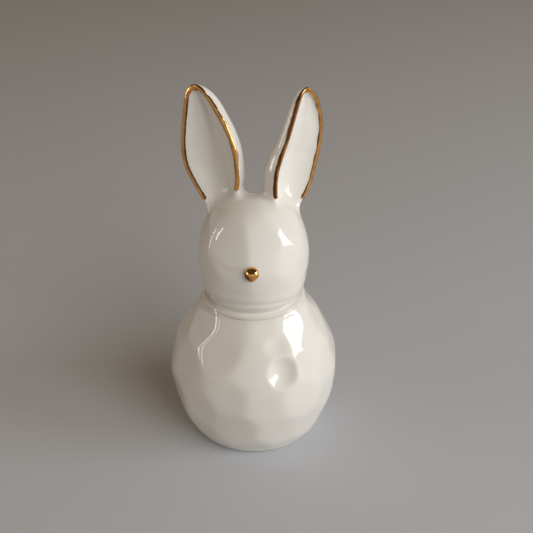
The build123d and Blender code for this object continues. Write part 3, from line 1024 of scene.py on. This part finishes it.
def studio_world(fill_light):
    """A warm light from all round; camera and glaze see a room that is pale low down and dark above."""
    world = bpy.data.worlds.new("studio")
    world.use_nodes = True
    nodes, links = world.node_tree.nodes, world.node_tree.links
    fill = nodes["Background"]
    fill.inputs["Color"].default_value = (*[fill_light * c for c in FILL_COLOUR], 1)
    room = nodes.new("ShaderNodeBackground")
    place = nodes.new("ShaderNodeTexCoord")
    split = nodes.new("ShaderNodeSeparateXYZ")
    ramp = ramp_between(nodes, (0.0, (0.72, 0.72, 0.72)), (0.5, (0.06, 0.058, 0.056)))
    links.new(place.outputs["Generated"], split.inputs["Vector"])
    links.new(split.outputs["Z"], ramp.inputs["Fac"])
    links.new(ramp.outputs["Color"], room.inputs["Color"])
    path = nodes.new("ShaderNodeLightPath")
    seen = path.outputs["Is Camera Ray"]
    for kind in ("Is Glossy Ray", "Is Transmission Ray"):
        either = nodes.new("ShaderNodeMath")
        either.operation = "MAXIMUM"
        links.new(seen, either.inputs[0])
        links.new(path.outputs[kind], either.inputs[1])
        seen = either.outputs["Value"]
    mix = nodes.new("ShaderNodeMixShader")
    links.new(seen, mix.inputs["Fac"])
    links.new(fill.outputs["Background"], mix.inputs[1])
    links.new(room.outputs["Background"], mix.inputs[2])
    links.new(mix.outputs["Shader"], nodes["World Output"].inputs["Surface"])
    return world


def hang_lamp(name, turn, rise, far, wide, tall, power, colour, mirrored):
    """A rectangular lamp that faces the rabbit; where mirrored is False, the glaze doesn't show it."""
    light = bpy.data.lights.new(name, "AREA")
    light.shape = "RECTANGLE"
    light.size = wide
    light.size_y = tall
    light.energy = power
    light.color = colour
    lamp = bpy.data.objects.new(name, light)
    t, r = radians(turn), radians(rise)
    lamp.location = LAMP_AIM + Vector((sin(t) * cos(r), -cos(t) * cos(r), sin(r))) * far
    lamp.rotation_euler = (LAMP_AIM - lamp.location).to_track_quat("-Z", "Y").to_euler()
    lamp.visible_glossy = mirrored
    bpy.context.collection.objects.link(lamp)


class RABBIT_OT_stage(bpy.types.Operator):
    """Lay the pale floor, hang the lamps and set the camera"""
    bl_idname = "rabbit.stage"
    bl_label = "Studio"

    def execute(self, context):
        scene = context.scene
        bm = bmesh.new()
        bmesh.ops.create_grid(bm, x_segments=1, y_segments=1, size=FLOOR_HALF_WIDTH)
        mesh = bpy.data.meshes.new("floor")
        bm.to_mesh(mesh)
        bm.free()
        mesh.materials.append(floor_material(context))
        floor = bpy.data.objects.new("floor", mesh)
        context.collection.objects.link(floor)

        scene.world = studio_world(scene.rabbit_finishes.fill_light)
        window_power = scene.rabbit_finishes.window_power
        for name, turn, rise, far, wide, tall, share, colour, mirrored in LAMPS:
            hang_lamp(name, turn, rise, far, wide, tall, window_power * share, colour, mirrored)

        view = bpy.data.cameras.new("camera")
        view.sensor_width = SENSOR_WIDTH
        view.lens = FOCAL_PIXELS / PHOTO_PIXELS * SENSOR_WIDTH
        camera = bpy.data.objects.new("camera", view)
        camera.location = Vector(CAMERA_PLACE) * MM
        camera.rotation_euler = (radians(CAMERA_TILT), 0.0, 0.0)
        context.collection.objects.link(camera)
        scene.camera = camera
        scene.view_settings.view_transform = "Standard"
        return {"FINISHED"}


class RABBIT_PT_panel(bpy.types.Panel):
    """Sizes, finishes and the steps of the rabbit"""
    bl_idname = "RABBIT_PT_panel"
    bl_label = "Gilded ceramic rabbit"
    bl_space_type = "VIEW_3D"
    bl_region_type = "UI"
    bl_category = "Rabbit"

    def draw(self, context):
        layout = self.layout
        for name, kind in GROUPS.items():
            box = layout.box()
            for field in kind.__annotations__:
                box.prop(getattr(context.scene, name), field)
        for step in STEPS:
            layout.operator(step.bl_idname)


GROUPS = {
    "rabbit_body": RabbitBodySizes,
    "rabbit_head": RabbitHeadSizes,
    "rabbit_ears": RabbitEarSizes,
    "rabbit_finishes": RabbitFinishes,
}
STEPS = (RABBIT_OT_body, RABBIT_OT_collar, RABBIT_OT_head, RABBIT_OT_ears, RABBIT_OT_nose,
         RABBIT_OT_gilding, RABBIT_OT_stage)


def register():
    """Make the sizes, the steps and the panel known."""
    for group in GROUPS.values():
        bpy.utils.register_class(group)
    for name, group in GROUPS.items():
        setattr(bpy.types.Scene, name, bpy.props.PointerProperty(type=group))
    for step in STEPS:
        bpy.utils.register_class(step)
    bpy.utils.register_class(RABBIT_PT_panel)


def unregister():
    """Take them out again."""
    bpy.utils.unregister_class(RABBIT_PT_panel)
    for step in reversed(STEPS):
        bpy.utils.unregister_class(step)
    for name in GROUPS:
        delattr(bpy.types.Scene, name)
    for group in reversed(list(GROUPS.values())):
        bpy.utils.unregister_class(group)


def main():
    """Run every step in order."""
    register()
    bpy.ops.rabbit.body()
    bpy.ops.rabbit.collar()
    bpy.ops.rabbit.head()
    bpy.ops.rabbit.ears()
    bpy.ops.rabbit.nose()
    bpy.ops.rabbit.gilding()
    bpy.ops.rabbit.stage()


if __name__ == "__main__":
    main()
